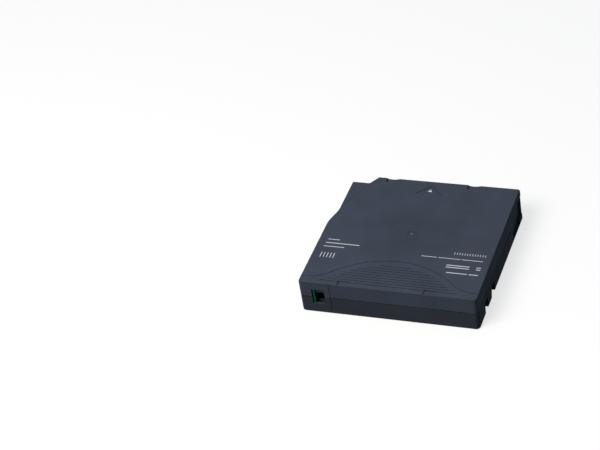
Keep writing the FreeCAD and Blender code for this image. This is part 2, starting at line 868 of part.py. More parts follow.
def leg_places():
    """Centres of the brake release's legs."""
    for index in range(release_leg_count):
        angle = math.radians(index * 360.0 / release_leg_count)
        yield release_leg_circle * math.cos(angle), release_leg_circle * math.sin(angle)


def make_upper_flange():
    """Upper flange with the ring that plugs into the hub."""
    spigot = hub_inner - spigot_gap
    disc_part = ring(flange_radius, spigot - spigot_wall, upper_flange_z,
                     upper_flange_z + flange_thickness)
    plug = ring(spigot, spigot - spigot_wall, upper_flange_z - spigot_depth, upper_flange_z + EPS)
    return disc_part.fuse(plug).removeSplitter()


def make_chuck_plate():
    """Steel plate that the drive's magnet pulls, set in the underside of the hub."""
    outer = boss_radius - boss_wall - chuck_plate_gap
    body = ring(outer, chuck_plate_inner, hub_floor_z - chuck_plate_thickness, hub_floor_z)
    holes = [disc(release_leg_hole, hub_floor_z - chuck_plate_thickness - MARGIN / 2,
                  hub_floor_z + MARGIN / 2, x, y) for x, y in leg_places()]
    return body.cut(holes)


def make_tape_pack():
    """All the turns of tape on the hub as one solid."""
    return ring(pack_radius, hub_radius, tape_low_z, tape_high_z)


# ---- Brake ----
def make_brake_button():
    """Toothed plate that locks the reel, sliding on a cross-shaped post."""
    pieces = [
        disc(brake_base_radius, brake_base_z, brake_base_top),
        ring(brake_ring_outer, brake_ring_inner, brake_tooth_z, brake_base_z + EPS),
        disc(brake_tube_radius, brake_base_top - EPS, brake_tube_top),
    ]
    body = pieces[0].multiFuse(pieces[1:])
    cuts = tooth_cuts(brake_tooth_count, brake_ring_inner - MARGIN / 2, brake_ring_outer + MARGIN / 2,
                      0, brake_tooth_height, brake_tooth_root)
    for cut in cuts:
        cut.rotate(V(), RIGHT, 180)
        cut.translate(UP * brake_tooth_z)
    arm = cross_length / 2 + cross_gap
    half = cross_width / 2 + cross_gap
    cuts.append(box(-arm, arm, -half, half, cross_floor_z, brake_tube_top + MARGIN))
    cuts.append(box(-half, half, -arm, arm, cross_floor_z, brake_tube_top + MARGIN))
    return body.cut(cuts).removeSplitter()


def make_brake_release():
    """Pad in the hub whose legs the drive pushes up, which lifts the brake button."""
    low = hub_floor_top + release_gap
    top = low + release_thickness
    crown = brake_base_z - release_dome_gap
    leg_low = hub_floor_z - chuck_plate_thickness + release_leg_inset
    rise = crown - top
    dome_radius = (release_dome_radius ** 2 + rise ** 2) / (2 * rise)
    dome = Part.makeSphere(dome_radius, V(0, 0, crown - dome_radius))
    dome = dome.common(disc(release_radius, top - EPS, crown + MARGIN))
    legs = [disc(release_leg_radius, leg_low, low + EPS, x, y) for x, y in leg_places()]
    return disc(release_radius, low, top).multiFuse(legs + [dome]).removeSplitter()


# ---- Memory board ----
def to_corner(shape):
    """Turn a shape drawn along X to face the rear right corner, and move it there."""
    shift = board_corner_gap / math.sqrt(2)
    shape.rotate(V(), UP, 45)
    shape.translate(V(inner_w - shift, -inner_d + shift, 0))
    return shape


def board_posts():
    """Two slotted posts that hold the memory board."""
    posts = []
    half = board_post_size / 2
    slot = board_thickness / 2 + board_slot_gap
    for side in (-1, 1):
        centre = side * board_post_place
        post = box(centre - half, centre + half, -half, half, plate - EPS, board_post_height)
        inner = min(centre * side - half, centre * side + half) - MARGIN
        reach = board_length / 2 + board_slot_gap
        cut = box(min(side * inner, side * reach), max(side * inner, side * reach), -slot, slot,
                  plate, board_post_height + MARGIN)
        posts.append(to_corner(post.cut(cut)))
    return posts


def make_memory_board():
    """Small circuit board on edge, behind the rear right corner."""
    return to_corner(box(-board_length / 2, board_length / 2, -board_thickness / 2,
                         board_thickness / 2, plate, plate + board_height))


def make_memory_chip():
    """The moulded chip on the board's inner face."""
    middle = plate + board_height / 2
    half = chip_size / 2
    return to_corner(box(-half, half, board_thickness / 2, board_thickness / 2 + chip_thickness,
                         middle - half, middle + half))


nodes = {
    "upper_shell": make_upper_shell(),
    "lower_shell": make_lower_shell(),
    "case_screws": make_case_screws(),
    "write_protect_tab": make_write_protect_tab(),
    "access_door": make_access_door(),
    "door_spring": make_door_spring(),
    "leader_pin": make_leader_pin(),
    "leader_clamp": make_leader_clamp(),
    "leader_tape": make_leader_tape(),
    "pin_clip_lower": make_pin_clip(plate + pin_end_gap),
    "pin_clip_upper": make_pin_clip(ceiling - pin_end_gap - clip_height),
    "reel_hub": make_reel_hub(),
    "upper_flange": make_upper_flange(),
    "chuck_plate": make_chuck_plate(),
    "tape_pack": make_tape_pack(),
    "brake_button": make_brake_button(),
    "brake_spring": coil(brake_coil_radius, brake_wire, brake_base_top, ceiling, brake_coil_turns),
    "brake_release": make_brake_release(),
    "memory_board": make_memory_board(),
    "memory_chip": make_memory_chip(),
}

os.makedirs("parts", exist_ok=True)
for name, shape in nodes.items():
    shape.exportStep("parts/" + name + ".step")
    bounds = shape.BoundBox
    print("%-18s solids %d valid %s volume %9.1f  x %.2f %.2f  y %.2f %.2f  z %.2f %.2f" % (
        name, len(shape.Solids), shape.isValid(), shape.Volume, bounds.XMin, bounds.XMax,
        bounds.YMin, bounds.YMax, bounds.ZMin, bounds.ZMax))
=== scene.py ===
# %% [markdown]
# # A data tape cartridge
#
# The cartridge is a flat case of two moulded shells with a reel of tape inside. Its solids come
# ready made from the CAD frame, and they keep their exact shape. This lesson gives each of them
# the surface of its real material, adds the ink that is printed on the top face, and lights it.

import math

import bpy
from mathutils import Matrix, Vector


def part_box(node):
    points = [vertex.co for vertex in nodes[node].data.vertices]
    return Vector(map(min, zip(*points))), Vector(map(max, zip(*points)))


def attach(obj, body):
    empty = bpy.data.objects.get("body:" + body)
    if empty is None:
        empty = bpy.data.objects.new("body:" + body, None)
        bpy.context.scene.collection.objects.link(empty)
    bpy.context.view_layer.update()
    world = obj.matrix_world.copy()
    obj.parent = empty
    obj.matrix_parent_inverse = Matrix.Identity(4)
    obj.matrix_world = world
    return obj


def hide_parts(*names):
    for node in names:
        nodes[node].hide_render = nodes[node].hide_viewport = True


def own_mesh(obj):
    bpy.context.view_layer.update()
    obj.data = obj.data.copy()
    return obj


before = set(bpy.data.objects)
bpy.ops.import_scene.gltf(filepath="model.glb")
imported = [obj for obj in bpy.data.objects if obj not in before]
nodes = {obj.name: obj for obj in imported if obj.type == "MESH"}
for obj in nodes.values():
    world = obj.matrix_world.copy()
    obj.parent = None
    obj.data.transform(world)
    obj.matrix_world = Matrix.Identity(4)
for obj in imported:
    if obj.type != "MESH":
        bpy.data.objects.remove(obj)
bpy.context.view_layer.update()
MM = 0.001
top_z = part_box("upper_shell")[1].z
print("CAD nodes:", len(nodes), " top face at", round(top_z / MM, 2), "mm")

# %% [markdown]
# ## Where the picture is taken from
#
# The cartridge lies flat and is seen from above its label edge, a little from the right. A long
# lens from about 1.1 m away keeps the edges nearly parallel. A camera could be aimed with a
# constraint, but a matrix built from three angles also holds the slight roll.

# %% Camera
CAMERA_PLACE = Vector((313.23, -810.73, 706.15)) * MM
CAMERA_TURN = math.radians(25.2135)
CAMERA_HEIGHT = math.radians(37.4232)
CAMERA_ROLL = math.radians(-10.3972)
LENS_MM = 114.6
SENSOR_MM = 36.0
CLIP_NEAR = 0.05
CLIP_FAR = 30.0


def camera_matrix():
    """The camera's place and axes from its turn, height and roll."""
    back = Vector((
        math.sin(CAMERA_TURN) * math.cos(CAMERA_HEIGHT),
        -math.cos(CAMERA_TURN) * math.cos(CAMERA_HEIGHT),
        math.sin(CAMERA_HEIGHT)))
    right = Vector((math.cos(CAMERA_TURN), math.sin(CAMERA_TURN), 0))
    up = back.cross(right)
    rolled_right = math.cos(CAMERA_ROLL) * right + math.sin(CAMERA_ROLL) * up
    rolled_up = -math.sin(CAMERA_ROLL) * right + math.cos(CAMERA_ROLL) * up
    turn = Matrix((rolled_right, rolled_up, back)).transposed().to_4x4()
    return Matrix.Translation(CAMERA_PLACE) @ turn


camera_data = bpy.data.cameras.new("camera")
camera_data.lens = LENS_MM
camera_data.sensor_width = SENSOR_MM
camera_data.clip_start = CLIP_NEAR
camera_data.clip_end = CLIP_FAR
camera = bpy.data.objects.new("camera", camera_data)
bpy.context.scene.collection.objects.link(camera)
camera.matrix_world = camera_matrix()
bpy.context.scene.camera = camera
bpy.context.scene.view_settings.view_transform = "Standard"
print("camera", round(CAMERA_PLACE.length, 3), "m from the underside's centre")

# %% [markdown]
# ## How a material is put together
#
# Every finish below is a small tree of nodes that feeds one Principled shader. Colours are
# written as they look on a screen, so they are turned to linear light first. One function fills
# a node's sockets and one adds a node, which keeps each tree as short as a recipe.


# %% Node helpers
# Most values of a noise lie between these two, so a range over them shows the full contrast.
NOISE_LOW = 0.3
NOISE_HIGH = 0.7
# A wave pattern multiplies distance by its scale and by this, and repeats every full turn.
WAVE_FACTOR = 20


def colour(hex_code):
    """An sRGB hex code as a linear RGBA colour."""
    channels = [int(hex_code[i:i + 2], 16) / 255 for i in (0, 2, 4)]
    linear = [c / 12.92 if c <= 0.04045 else ((c + 0.055) / 1.055) ** 2.4 for c in channels]
    return (*linear, 1.0)


def feed(tree, node, inputs):
    """Sets each socket to its value, or links it to the output that feeds it."""
    for socket, value in inputs.items():
        if isinstance(value, bpy.types.NodeSocket):
            tree.links.new(value, node.inputs[socket])
        else:
            node.inputs[socket].default_value = value


def add_node(tree, kind, inputs=None, **settings):
    """Adds a node with its settings, and feeds its sockets."""
    node = tree.nodes.new(kind)
    for name, value in settings.items():
        setattr(node, name, value)
    feed(tree, node, inputs or {})
    return node


def new_material(name):
    """An empty material: its tree, its Principled shader and the object's own coordinates."""
    material = bpy.data.materials.new(name)
    material.use_nodes = True
    tree = material.node_tree
    tree.nodes.clear()
    shader = add_node(tree, "ShaderNodeBsdfPrincipled")
    add_node(tree, "ShaderNodeOutputMaterial", {"Surface": shader.outputs["BSDF"]})
    place = add_node(tree, "ShaderNodeTexCoord").outputs["Object"]
    return material, tree, shader, place


def per_size(size_mm):
    """The scale at which a noise has features of this size."""
    return 1.0 / (size_mm * MM)


def per_ring(spacing_mm):
    """The scale at which a wave pattern has rings this far apart."""
    return math.tau / (WAVE_FACTOR * spacing_mm * MM)


def wear(node_name, material):
    """Gives a CAD node one material all over."""
    mesh = nodes[node_name].data
    mesh.materials.clear()
    mesh.materials.append(material)


print("helpers ready; mid slate in linear light:", [round(c, 3) for c in colour("3f4552")])

# %% [markdown]
# ## The case's plastic
#
# The shells are ABS and polycarbonate, moulded in a tool whose walls were spark eroded. That
# leaves a fine even grain that scatters light, so the faces look matt. The grain is bump, and a
# soft cloud of a few centimetres shifts colour and gloss by a little, as handling does.
#
# Three things change the colour in places. Rounded edges get painted shade, and the tab's edges a
# painted highlight, which the normal's height can tell: it is 0 or 1 on the flat faces and in
# between on an edge. The plastic entered the mould at the middle of the top face, so a pale gate
# mark sits there: stress-whitened plastic, with a painted highlight on its nub. Round it, painted
# shade darkens the top face towards its middle. Creases such as the seam get painted shade, which
# ambient occlusion measures. The face that the case rests on is left out of that, because the
# floor would darken all of it.

# %% Case plastic
CASE_GRAIN_MM = 0.3
CASE_CLOUD_MM = 18.0
CASE_SPECK_MM = 1.1
CASE_GLOSS_DRIFT = 0.04
CLOUD_LOW = 0.15
CLOUD_HIGH = 0.38
# Rounded edges take painted shade from the edge tint, and the tab's paler edge tint paints a
# highlight.
# The normal's height is folded back here, so that 0 and 1 both read as flat.
EDGE_FOLD = 0.5
EDGE_LOW = 0.02
EDGE_HIGH = 0.22
# The gate mark is pale for stress-whitened plastic and for a painted highlight on its nub.
GATE_PLACE = Vector((0.3, 0.7, 0)) * MM
GATE_MM = 0.6
GATE_CORE = 0.7
GATE_WHITENING_AND_HIGHLIGHT = "7c8494"
# Painted shade that darkens the top face towards its middle, over this distance and to this
# level.
TOP_SHADE_MM = 42.0
TOP_SHADE_LEVEL = 0.88
CREASE_MM = 0.8
CREASE_LOW = 0.25
CREASE_HIGH = 0.65
CREASE_SHADE = 0.25
RESTING_NORMAL = -0.9
SPECULAR_LEVEL = 0.08


def moulded_plastic(name, base, pale, painted_edge_tint, rough, grain_mm, grain_depth_mm):
    """Spark-eroded moulded plastic whose colour drifts from base to pale."""
    material, tree, shader, place = new_material(name)
    cloud = add_node(tree, "ShaderNodeTexNoise", {
        "Vector": place, "Scale": per_size(CASE_CLOUD_MM), "Detail": 3.0})
    speck = add_node(tree, "ShaderNodeTexNoise", {
        "Vector": place, "Scale": per_size(CASE_SPECK_MM), "Detail": 4.0, "Roughness": 0.7})
    blend = add_node(tree, "ShaderNodeMath", {0: cloud.outputs["Fac"], 1: speck.outputs["Fac"]},
                     operation="MULTIPLY")
    spread = add_node(tree, "ShaderNodeMapRange", {
        "Value": blend.outputs[0], "From Min": CLOUD_LOW, "From Max": CLOUD_HIGH})
    body = add_node(tree, "ShaderNodeMix", {
        "Factor": spread.outputs[0], 6: colour(base), 7: colour(pale)}, data_type="RGBA")

    # Painted shade on rounded edges, and a painted highlight on the tab's edges.
    tilt = add_node(tree, "ShaderNodeSeparateXYZ", {
        0: add_node(tree, "ShaderNodeTexCoord").outputs["Normal"]}).outputs["Z"]
    slant = add_node(tree, "ShaderNodeMath", {0: tilt, 1: EDGE_FOLD}, operation="PINGPONG")
    edge = add_node(tree, "ShaderNodeMapRange", {
        "Value": slant.outputs[0], "From Min": EDGE_LOW, "From Max": EDGE_HIGH})
    edge_painted = add_node(tree, "ShaderNodeMix", {
        "Factor": edge.outputs[0], 6: body.outputs[2], 7: colour(painted_edge_tint)}, data_type="RGBA")
    # A pale gate mark: stress-whitened plastic, with a painted highlight on its nub.
    reach = add_node(tree, "ShaderNodeVectorMath", {
        0: place, 1: (GATE_PLACE.x, GATE_PLACE.y, top_z)}, operation="DISTANCE")
    gate = add_node(tree, "ShaderNodeMapRange", {
        "Value": reach.outputs["Value"], "From Min": GATE_MM * MM,
        "From Max": GATE_CORE * GATE_MM * MM})
    marked = add_node(tree, "ShaderNodeMix", {
        "Factor": gate.outputs[0], 6: edge_painted.outputs[2], 7: colour(GATE_WHITENING_AND_HIGHLIGHT)}, data_type="RGBA")
    # Painted shade that darkens the top face towards its middle.
    top_shade = add_node(tree, "ShaderNodeMapRange", {
        "Value": reach.outputs["Value"], "From Max": TOP_SHADE_MM * MM, "To Min": TOP_SHADE_LEVEL},
        interpolation_type="SMOOTHSTEP")
    crease = add_node(tree, "ShaderNodeAmbientOcclusion", {"Distance": CREASE_MM * MM}, samples=8)
    creased = add_node(tree, "ShaderNodeMapRange", {
        "Value": crease.outputs["AO"], "From Min": CREASE_LOW, "From Max": CREASE_HIGH,
        "To Min": CREASE_SHADE})
    resting = add_node(tree, "ShaderNodeMath", {0: tilt, 1: RESTING_NORMAL},
                       operation="LESS_THAN")
    shade = add_node(tree, "ShaderNodeMath", {
        0: creased.outputs[0], 1: resting.outputs[0]}, operation="MAXIMUM")
    dim = add_node(tree, "ShaderNodeMath", {
        0: top_shade.outputs[0], 1: shade.outputs[0]}, operation="MULTIPLY")
    shaded = add_node(tree, "ShaderNodeVectorMath", {
        0: marked.outputs[2], "Scale": dim.outputs[0]}, operation="SCALE")
    gloss = add_node(tree, "ShaderNodeMapRange", {
        "Value": cloud.outputs["Fac"], "From Min": NOISE_LOW, "From Max": NOISE_HIGH,
        "To Min": rough - CASE_GLOSS_DRIFT, "To Max": rough + CASE_GLOSS_DRIFT})

    grain = add_node(tree, "ShaderNodeTexNoise", {
        "Vector": place, "Scale": per_size(grain_mm), "Detail": 2.0})
    bump = add_node(tree, "ShaderNodeBump", {
        "Height": grain.outputs["Fac"], "Distance": grain_depth_mm * MM, "Strength": 0.5})
    feed(tree, shader, {
        "Base Color": shaded.outputs[0], "Roughness": gloss.outputs[0],
        "Normal": bump.outputs[0], "Specular IOR Level": SPECULAR_LEVEL})
    return material


# Slate ABS off a spark-eroded tool: quite matt, and even from a step away.
upper_plastic = moulded_plastic("moulded_abs_slate", "3b424e", "414856", "2d3537", rough=0.85,
                                grain_mm=CASE_GRAIN_MM, grain_depth_mm=0.03)
# The lower shell is the slate painted a shade deeper and less blue: painted shade for
# the lower half of the walls, which gets less light.
shaded_lower_plastic = moulded_plastic("moulded_abs_slate_painted_shade", "2f343b", "343a43", "262d30",
                                rough=0.85, grain_mm=CASE_GRAIN_MM, grain_depth_mm=0.03)
wear("upper_shell", upper_plastic)
wear("lower_shell", shaded_lower_plastic)
print("case plastic on both shells, grain", CASE_GRAIN_MM, "mm")

# %% [markdown]
# ## Door and write protect tab
#
# The door is the same plastic in another dark shade, because it is moulded in a tool of its own.
# The tab is coloured acetal, a slippery plastic with a soft wax-like shine. Its green is painted
# darker, as painted shade for the window that it sits in.

# %% Door and tab plastic
# The door's ABS has a shallower grain than the shells, so it is a touch less matt.
door_plastic = moulded_plastic("moulded_abs_dark_slate", "2f3741", "353d48", "2a3236",
                               rough=0.8, grain_mm=CASE_GRAIN_MM, grain_depth_mm=0.02)
wear("access_door", door_plastic)
# Acetal leaves the mould slick, so the tab is much glossier and its grain is faint.
# Its green is painted darker than the acetal's own: painted shade for the window it sits in.
tab_plastic = moulded_plastic("acetal_green", "033c30", "05473a", "085e4c",
                              rough=0.4, grain_mm=0.2, grain_depth_mm=0.008)
wear("write_protect_tab", tab_plastic)
print("door and tab coloured")

# %% [markdown]
# ## The metal parts
#
# The leader pin is turned steel, the chuck plate is stamped and ground, the springs are drawn
# wire and the screws are blackened. All are bare metal, so colour comes from the reflection tint
# and the making shows in the direction of the fine scratches. A noise stretched along one axis
# draws those scratches without an image.


# %% Metals
STAIN_MM = 4.0
METAL_GLOSS_DRIFT = 0.07


def bare_metal(name, tint, rough, scratch_mm, stretch, depth_mm):
    """Metal with fine scratches that run along the axis with the small stretch."""
    material, tree, shader, place = new_material(name)
    run = add_node(tree, "ShaderNodeMapping", {"Vector": place, "Scale": stretch})
    scratch = add_node(tree, "ShaderNodeTexNoise", {
        "Vector": run.outputs[0], "Scale": per_size(scratch_mm), "Detail": 3.0})
    stain = add_node(tree, "ShaderNodeTexNoise", {
        "Vector": place, "Scale": per_size(STAIN_MM), "Detail": 2.0})
    tone = add_node(tree, "ShaderNodeMix", {
        "Factor": stain.outputs["Fac"], 6: colour(tint[0]), 7: colour(tint[1])},
        data_type="RGBA")
    gloss = add_node(tree, "ShaderNodeMapRange", {
        "Value": scratch.outputs["Fac"], "From Min": NOISE_LOW, "From Max": NOISE_HIGH,
        "To Min": rough - METAL_GLOSS_DRIFT, "To Max": rough + METAL_GLOSS_DRIFT})
    bump = add_node(tree, "ShaderNodeBump", {
        "Height": scratch.outputs["Fac"], "Distance": depth_mm * MM, "Strength": 0.4})
    feed(tree, shader, {
        "Base Color": tone.outputs[2], "Roughness": gloss.outputs[0],
        "Normal": bump.outputs[0], "Metallic": 1.0})
    return material


# Turned on a lathe: bright, with fine rings round the pin.
turned_steel = bare_metal("turned_steel", ("b9bbbd", "cfd1d2"), rough=0.26,
                          scratch_mm=0.25, stretch=(0.1, 0.1, 1.0), depth_mm=0.004)
# Ground flat: straight parallel scratches draw the highlight out across them.
ground_steel = bare_metal("ground_steel", ("aeb1b4", "c6c8ca"), rough=0.34,
                          scratch_mm=0.3, stretch=(1.0, 0.06, 1.0), depth_mm=0.006)
# Drawn through a die: smooth, a little greyer, with short faint lines.
drawn_wire = bare_metal("drawn_spring_wire", ("9c9ea1", "b8babb"), rough=0.3,
                        scratch_mm=0.2, stretch=(1.0, 1.0, 0.3), depth_mm=0.004)
# Blackened in a bath: dark and dull, with no direction in it.
black_steel = bare_metal("blackened_steel", ("3a3b3d", "4c4d50"), rough=0.42,
                         scratch_mm=0.35, stretch=(1.0, 1.0, 1.0), depth_mm=0.008)
for name, metal in (("leader_pin", turned_steel), ("chuck_plate", ground_steel),
                    ("door_spring", drawn_wire), ("brake_spring", drawn_wire),
                    ("pin_clip_lower", ground_steel), ("pin_clip_upper", ground_steel),
                    ("case_screws", black_steel)):
    wear(name, metal)
print("four metals on seven nodes")

# %% [markdown]
# ## Copies of the springs
#
# A solid from the CAD frame never changes its shape, but a spring gets shorter as its joint
# moves. So a copy of its mesh, with a mesh of its own, stands in its place and rides on the case,
# while the solid is hidden. The copy keeps its full length.


def shortening_spring(node):
    """Shows a spring as a copy of its mesh that rides on the case, and hides the solid."""
    coil = bpy.data.objects.new(node + "_coil", nodes[node].data.copy())
    bpy.context.scene.collection.objects.link(coil)
    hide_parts(node)
    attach(coil, "case")
    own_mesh(coil)


shortening_spring("door_spring")
shortening_spring("brake_spring")

# %% [markdown]
# ## The reel's plastics
#
# Hub, flanges and brake are smooth mouldings with no grain, so their light comes from a soft,
# slightly uneven gloss. Fine flow marks spread round the gate at the reel's axis: rings of a wave
# pattern, bent a little by its own distortion.


# %% Reel and brake plastics
HAZE_MM = 6.0
SMOOTH_GLOSS_DRIFT = 0.05


def smooth_plastic(name, base, pale, rough, ring_mm):
    """Smooth moulded plastic with faint flow marks round the vertical axis."""
    material, tree, shader, place = new_material(name)
    rings = add_node(tree, "ShaderNodeTexWave", {
        "Vector": place, "Scale": per_ring(ring_mm), "Distortion": 1.5,
        "Detail": 2.0}, wave_type="RINGS", rings_direction="Z")
    haze = add_node(tree, "ShaderNodeTexNoise", {
        "Vector": place, "Scale": per_size(HAZE_MM), "Detail": 3.0})
    tone = add_node(tree, "ShaderNodeMix", {
        "Factor": haze.outputs["Fac"], 6: colour(base), 7: colour(pale)}, data_type="RGBA")
    gloss = add_node(tree, "ShaderNodeMapRange", {
        "Value": haze.outputs["Fac"], "From Min": NOISE_LOW, "From Max": NOISE_HIGH,
        "To Min": rough - SMOOTH_GLOSS_DRIFT, "To Max": rough + SMOOTH_GLOSS_DRIFT})
    bump = add_node(tree, "ShaderNodeBump", {
        "Height": rings.outputs["Fac"], "Distance": 0.004 * MM, "Strength": 0.25})
    feed(tree, shader, {
        "Base Color": tone.outputs[2], "Roughness": gloss.outputs[0],
        "Normal": bump.outputs[0]})
    return material


# Filled polycarbonate: charcoal, with a satin gloss that shows the flow marks.
reel_plastic = smooth_plastic("polycarbonate_charcoal", "26282c", "303338",
                              rough=0.36, ring_mm=2.4)
# Unfilled polycarbonate: pale and the smoothest of the three.
flange_plastic = smooth_plastic("polycarbonate_pale_grey", "9aa0a6", "a9afb5",
                                rough=0.28, ring_mm=3.0)
# Acetal without pigment: a warm off-white with a waxy shine.
brake_plastic = smooth_plastic("acetal_natural", "d6d4cb", "e3e1d9", rough=0.35, ring_mm=1.8)
for name, plastic in (("reel_hub", reel_plastic), ("upper_flange", flange_plastic),
                      ("brake_button", brake_plastic), ("brake_release", brake_plastic),
                      ("leader_clamp", brake_plastic)):
    wear(name, plastic)
print("three smooth plastics on five nodes")

# %% [markdown]
# ## The tape
#
# The tape is polyester film under 0.01 mm thick with a dark magnetic coat. Wound up, its edges
# make a face of very fine rings with a satin sheen. Real rings are too fine to draw, so they are
# drawn 0.5 mm apart, in bands of a slightly lighter and darker brown.

# %% Wound film
RING_MM = 0.5
BAND_MM = 6.3
# Coated film, wound: nearly black brown, glossier on one turn than on the next.
film, tree, shader, place = new_material("magnetic_film")
turns = add_node(tree, "ShaderNodeTexWave", {
    "Vector": place, "Scale": per_ring(RING_MM), "Distortion": 0.4, "Detail": 1.0},
    wave_type="RINGS", rings_direction="Z")
band = add_node(tree, "ShaderNodeTexWave", {
    "Vector": place, "Scale": per_ring(BAND_MM), "Distortion": 2.0, "Detail": 3.0},
    wave_type="RINGS", rings_direction="Z")
film_tone = add_node(tree, "ShaderNodeMix", {
    "Factor": band.outputs["Fac"], 6: colour("1d1917"), 7: colour("2b2522")}, data_type="RGBA")
film_gloss = add_node(tree, "ShaderNodeMapRange", {
    "Value": turns.outputs["Fac"], "To Min": 0.22, "To Max": 0.4})
film_bump = add_node(tree, "ShaderNodeBump", {
    "Height": turns.outputs["Fac"], "Distance": 0.01 * MM, "Strength": 0.5})
feed(tree, shader, {
    "Base Color": film_tone.outputs[2], "Roughness": film_gloss.outputs[0],
    "Normal": film_bump.outputs[0]})
for name in ("tape_pack", "leader_tape"):
    wear(name, film)
print("film rings every", RING_MM, "mm")

# %% [markdown]
# ## The memory board
#
# The board is glass-fibre laminate under a green solder mask, whose weave shows as a faint grid.
# The chip on it is black moulded resin.

# %% Board and chip
WEAVE_MM = 0.6
# Solder mask is a clear green varnish, so the board is coated and the weave shines through.
laminate, tree, shader, place = new_material("solder_masked_laminate")
weave = add_node(tree, "ShaderNodeTexBrick", {
    "Vector": place, "Scale": per_size(WEAVE_MM), "Color1": colour("14532b"),
    "Color2": colour("185e31"), "Mortar": colour("0f4523"), "Mortar Size": 0.04})
weave_bump = add_node(tree, "ShaderNodeBump", {
    "Height": weave.outputs["Fac"], "Distance": 0.01 * MM, "Strength": 0.3})
feed(tree, shader, {
    "Base Color": weave.outputs["Color"], "Roughness": 0.45, "Coat Weight": 0.4,
    "Normal": weave_bump.outputs[0]})
wear("memory_board", laminate)
# Filled epoxy: black and rather matt.
resin = smooth_plastic("moulded_epoxy_black", "141415", "1c1c1e", rough=0.5, ring_mm=0.9)
wear("memory_chip", resin)
print("board weave", WEAVE_MM, "mm")

# %% [markdown]
# ## Ink on the top face
#
# Pad printing lays a film of light grey ink a few hundredths of a millimetre thick. It could be a
# colour mask in the plastic's own material, but thin solids keep a crisp edge at any distance.
# One material serves them all: its coverage is a little uneven, as ink on a grained face is.

# %% Ink
INK_THICK = 0.03 * MM
COVER_MM = 0.4
# Pad-printed ink: an opaque light grey, duller than enamel and a little thin in places.
ink, tree, shader, place = new_material("pad_printed_ink")
cover = add_node(tree, "ShaderNodeTexNoise", {
    "Vector": place, "Scale": per_size(COVER_MM), "Detail": 3.0})
ink_tone = add_node(tree, "ShaderNodeMix", {
    "Factor": cover.outputs["Fac"], 6: colour("b4b9bf"), 7: colour("d3d6d9")}, data_type="RGBA")
ink_bump = add_node(tree, "ShaderNodeBump", {
    "Height": cover.outputs["Fac"], "Distance": 0.01 * MM, "Strength": 0.3})
feed(tree, shader, {
    "Base Color": ink_tone.outputs[2], "Roughness": 0.5, "Normal": ink_bump.outputs[0]})
print("ink", INK_THICK / MM, "mm thick")

# %% [markdown]
# ## The insertion arrow
#
# A small solid triangle inside the moulded chevron points to the edge that enters the drive. A
# circle with three corners gives the outline, an extrusion gives the ink its thickness, and a
# slight bevel rounds the three corners as ink does.

# %% Arrow
ARROW_PLACE = Vector((0.1, 41.35, 0)) * MM
ARROW_HALF_WIDTH = 1.3 * MM
ARROW_LENGTH = 2.4 * MM
ARROW_ROUND = 0.1 * MM
ARROW_ROUND_STEPS = 3
# A circle with three corners: its height and its half width, as shares of its radius.
TRIANGLE_HEIGHT = 1.5
TRIANGLE_HALF_WIDTH = math.cos(math.radians(30))
ARROW_RADIUS = ARROW_LENGTH / TRIANGLE_HEIGHT


def deselect():
    """Nothing is selected afterwards, so an operator meets only what is added next."""
    if bpy.context.object and bpy.context.object.mode != "OBJECT":
        bpy.ops.object.mode_set(mode="OBJECT")
    bpy.ops.object.select_all(action="DESELECT")


def lay_ink(stretch, rounding, steps):
    """Makes the active flat outline a slab of ink: stretched, its corners rounded, thick."""
    bpy.ops.object.mode_set(mode="EDIT")
    bpy.ops.mesh.select_all(action="SELECT")
    bpy.ops.transform.resize(value=stretch)
    bpy.ops.mesh.bevel(offset=rounding, segments=steps, affect="VERTICES")
    bpy.ops.mesh.select_all(action="SELECT")
    bpy.ops.mesh.extrude_region_move(TRANSFORM_OT_translate={"value": (0, 0, INK_THICK)})
    bpy.ops.mesh.select_all(action="SELECT")
    bpy.ops.mesh.normals_make_consistent(inside=False)
    bpy.ops.object.mode_set(mode="OBJECT")
    return bpy.context.object


def finish_print(piece, name):
    """Names a printed piece, applies its place and lets it ride on the case."""
    piece.name = name
    piece.data.name = name
    bpy.ops.object.transform_apply(location=True, rotation=True, scale=True)
    piece.data.materials.append(ink)
    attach(piece, "case")


deselect()
bpy.ops.mesh.primitive_circle_add(
    vertices=3, radius=ARROW_RADIUS, fill_type="NGON",
    location=ARROW_PLACE + Vector((0, 0, top_z)))
arrow_stretch = ARROW_HALF_WIDTH / (ARROW_RADIUS * TRIANGLE_HALF_WIDTH)
arrow = lay_ink((arrow_stretch, 1, 1), ARROW_ROUND, ARROW_ROUND_STEPS)
finish_print(arrow, "insertion_arrow")
print("arrow", [round(v / MM, 2) for v in arrow.dimensions])

# %% [markdown]
# ## Ruled marks
#
# Plain ruled lines and rows of index ticks stand where a printed panel would be. Every mark is a
# small slab of ink with rounded corners, and the marks of one row are joined into one piece.

# %% Ruled marks
MARK_ROUND = 0.12 * MM
MARK_ROUND_STEPS = 2
# Each row: its name, left end, middle and height, then its marks and the gaps after them, in mm.
MARK_ROWS = (
    ("print_left_rule", -47.0, -11.2, 0.5, ((7.2, 0.0),)),
    ("print_left_line", -47.3, -14.4, 0.6, ((20.5, 0.0),)),
    ("print_left_short_line", -47.6, -17.6, 0.5, ((12.6, 0.0),)),
    ("print_left_scale", -47.0, -25.3, 4.4, ((0.45, 1.5),) * 4 + ((0.45, 0.0),)),
    ("print_right_scale", 29.9, -13.0, 1.8, ((0.35, 1.15),) * 12 + ((0.35, 0.0),)),
    ("print_right_line", 11.6, -17.8, 0.4, ((9.0, 0.9), (13.0, 0.9), (12.4, 0.0))),
    ("print_right_upper_rule", 27.9, -23.5, 0.6, ((13.6, 4.0), (2.6, 0.0))),
    ("print_right_middle_rule", 27.9, -25.3, 0.6, ((13.6, 4.0), (2.6, 0.0))),
    ("print_right_lower_rule", 29.5, -29.9, 0.6, ((12.0, 1.0), (5.4, 0.0))),
)


